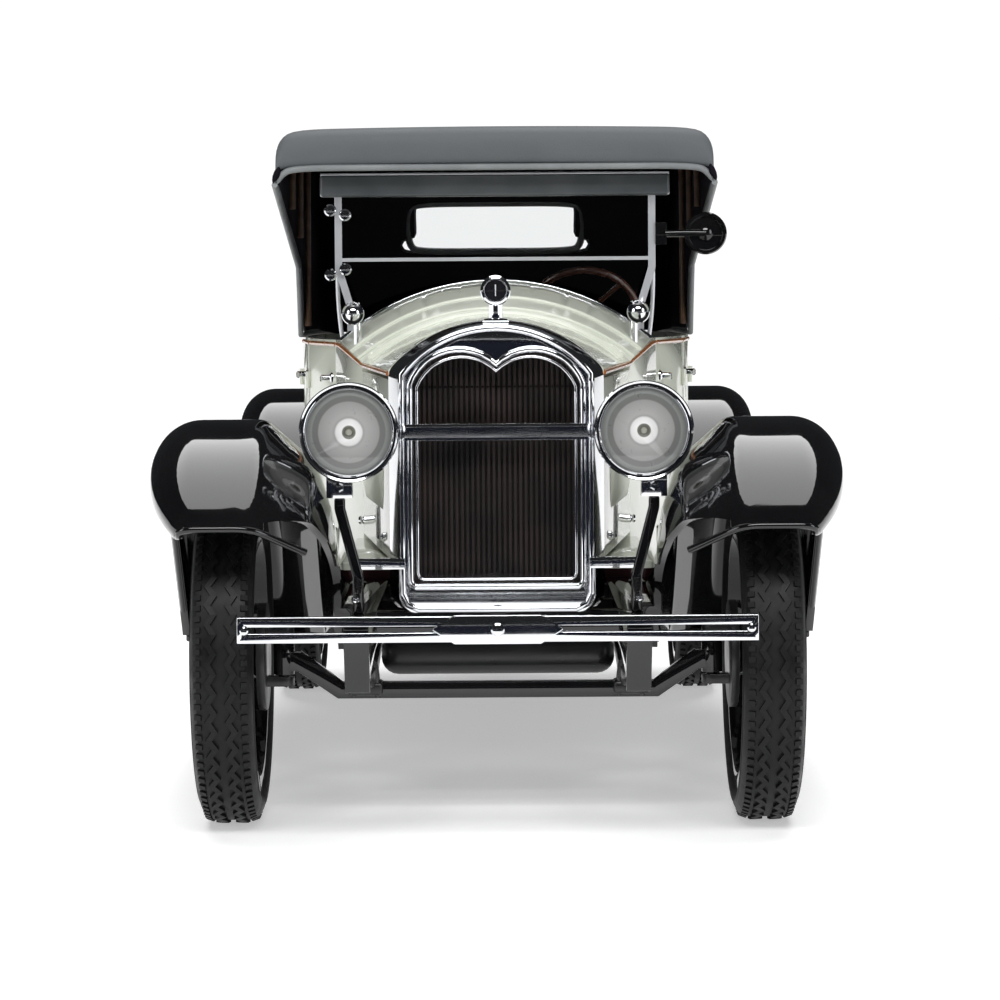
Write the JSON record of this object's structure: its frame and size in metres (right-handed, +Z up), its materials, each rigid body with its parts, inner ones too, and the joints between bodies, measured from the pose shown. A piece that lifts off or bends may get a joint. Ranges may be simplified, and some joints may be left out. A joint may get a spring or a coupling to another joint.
{
  "type": "1:18 scale model of a 1920s touring car",
  "caption": "Die-cast scale model of an open 1920s touring car with its soft top up, on spoked wheels, with opening doors and bonnet and wheels that steer.",
  "frame": {"origin": "on the ground under the middle of the model's length and width", "axes": "+Z up, +Y towards the back of the car, which faces -Y, and +X towards the car's left"},
  "size_m": [0.1016, 0.25, 0.1068],
  "materials": {
    "ivory": "gloss ivory paint with a faint green tint",
    "black_gloss": "gloss black paint",
    "iron": "satin dark grey",
    "tyre": "satin black rubber",
    "chrome": "bright plating, slightly wavy",
    "fins": "satin black",
    "screen_metal": "satin grey",
    "clear": "clear moulded plastic",
    "maroon": "satin dark maroon",
    "top_cloth": "matt dark grey",
    "wheel_brown": "gloss brown"
  },
  "bodies": {
    "car": {"body_tub": "ivory", "bonnet_hinge": "chrome", "bonnet_sills": "ivory", "chassis_frame": "black_gloss", "cowl_lamps": "chrome", "dashboard": "maroon", "engine_block": "iron", "exhaust": "iron", "floorboards": "maroon", "front_axle": "black_gloss", "front_bumper": "chrome", "front_fender_left": "black_gloss", "front_fender_right": "black_gloss", "front_seat": "maroon", "fuel_tank": "black_gloss", "headlamp_lenses": "clear", "headlamp_mounts": "chrome", "headlamp_stays": "black_gloss", "headlamps": "chrome", "mirror": "black_gloss", "radiator_cap": "chrome", "radiator_core": "fins", "radiator_shell": "chrome", "rear_axle": "black_gloss", "rear_fender_left": "black_gloss", "rear_fender_right": "black_gloss", "rear_seat": "maroon", "rear_window": "clear", "running_boards": "black_gloss", "soft_top": "top_cloth", "spare_carrier": "black_gloss", "spare_tyre": "tyre", "spare_wheel": "black_gloss", "springs": "black_gloss", "steering_column": "black_gloss", "windscreen_frame": "screen_metal", "windscreen_glass": "clear"},
    "front_left_wheel": {"wheel_front_left": "black_gloss", "tyre_front_left": "tyre"},
    "front_right_wheel": {"wheel_front_right": "black_gloss", "tyre_front_right": "tyre"},
    "rear_left_wheel": {"wheel_rear_left": "black_gloss", "tyre_rear_left": "tyre"},
    "rear_right_wheel": {"wheel_rear_right": "black_gloss", "tyre_rear_right": "tyre"},
    "left_knuckle": {"knuckle_left": "black_gloss"},
    "right_knuckle": {"knuckle_right": "black_gloss"},
    "steering": {"steering_wheel": "wheel_brown"},
    "left_front_door": {"front_door_left": "ivory"},
    "right_front_door": {"front_door_right": "ivory"},
    "left_rear_door": {"rear_door_left": "ivory"},
    "right_rear_door": {"rear_door_right": "ivory"},
    "left_bonnet_top": {"bonnet_top_left": "ivory"},
    "right_bonnet_top": {"bonnet_top_right": "ivory"},
    "left_bonnet_side": {"bonnet_side_left": "ivory"},
    "right_bonnet_side": {"bonnet_side_right": "ivory"}
  },
  "joints": [
    {"name": "steering_turn", "type": "hinge", "parent": "car", "child": "steering", "pos_m": [0.0155, 0.005, 0.075], "axis": [0, 0.8192, 0.5736], "range_deg": [-100, 100]},
    {"name": "left_kingpin", "type": "hinge", "parent": "car", "child": "left_knuckle", "pos_m": [0.032, -0.089, 0.0247], "axis": [0, 0, 1], "range_deg": [-20, 20]},
    {"name": "front_left_roll", "type": "hinge", "parent": "left_knuckle", "child": "front_left_wheel", "pos_m": [0.0395, -0.089, 0.0247], "axis": [1, 0, 0], "continuous": true},
    {"name": "rear_left_roll", "type": "hinge", "parent": "car", "child": "rear_left_wheel", "pos_m": [0.0395, 0.083, 0.0247], "axis": [1, 0, 0], "continuous": true},
    {"name": "left_front_door_hinge", "type": "hinge", "parent": "car", "child": "left_front_door", "pos_m": [0.03395, 0.0191, 0.053], "axis": [0, 0, 1], "range_deg": [0, 70]},
    {"name": "left_rear_door_hinge", "type": "hinge", "parent": "car", "child": "left_rear_door", "pos_m": [0.03663, 0.0457, 0.053], "axis": [0, 0, 1], "range_deg": [0, 70]},
    {"name": "left_bonnet_hinge", "type": "hinge", "parent": "car", "child": "left_bonnet_top", "pos_m": [0, -0.059, 0.07515], "axis": [0, -0.9999, -0.0161], "range_deg": [0, 45]},
    {"name": "left_bonnet_fold", "type": "hinge", "parent": "left_bonnet_top", "child": "left_bonnet_side", "pos_m": [0.01915, -0.05875, 0.06615], "axis": [-0.1108, -0.9938, -0.0055], "range_deg": [-32, 0]},
    {"name": "right_kingpin", "type": "hinge", "parent": "car", "child": "right_knuckle", "pos_m": [-0.032, -0.089, 0.0247], "axis": [0, 0, 1], "range_deg": [-20, 20]},
    {"name": "front_right_roll", "type": "hinge", "parent": "right_knuckle", "child": "front_right_wheel", "pos_m": [-0.0395, -0.089, 0.0247], "axis": [1, 0, 0], "continuous": true},
    {"name": "rear_right_roll", "type": "hinge", "parent": "car", "child": "rear_right_wheel", "pos_m": [-0.0395, 0.083, 0.0247], "axis": [1, 0, 0], "continuous": true},
    {"name": "right_front_door_hinge", "type": "hinge", "parent": "car", "child": "right_front_door", "pos_m": [-0.03395, 0.0191, 0.053], "axis": [0, 0, -1], "range_deg": [0, 70]},
    {"name": "right_rear_door_hinge", "type": "hinge", "parent": "car", "child": "right_rear_door", "pos_m": [-0.03663, 0.0457, 0.053], "axis": [0, 0, -1], "range_deg": [0, 70]},
    {"name": "right_bonnet_hinge", "type": "hinge", "parent": "car", "child": "right_bonnet_top", "pos_m": [0, -0.059, 0.07515], "axis": [0, 0.9999, 0.0161], "range_deg": [0, 45]},
    {"name": "right_bonnet_fold", "type": "hinge", "parent": "right_bonnet_top", "child": "right_bonnet_side", "pos_m": [-0.01915, -0.05875, 0.06615], "axis": [-0.1108, 0.9938, 0.0055], "range_deg": [-32, 0]}
  ],
  "couplings": [
    {"joint": "right_kingpin", "follows": "left_kingpin", "ratio": 1},
    {"joint": "steering_turn", "follows": "left_kingpin", "ratio": 4},
    {"joint": "left_bonnet_fold", "follows": "left_bonnet_hinge", "ratio": -0.7},
    {"joint": "right_bonnet_fold", "follows": "right_bonnet_hinge", "ratio": -0.7}
  ]
}
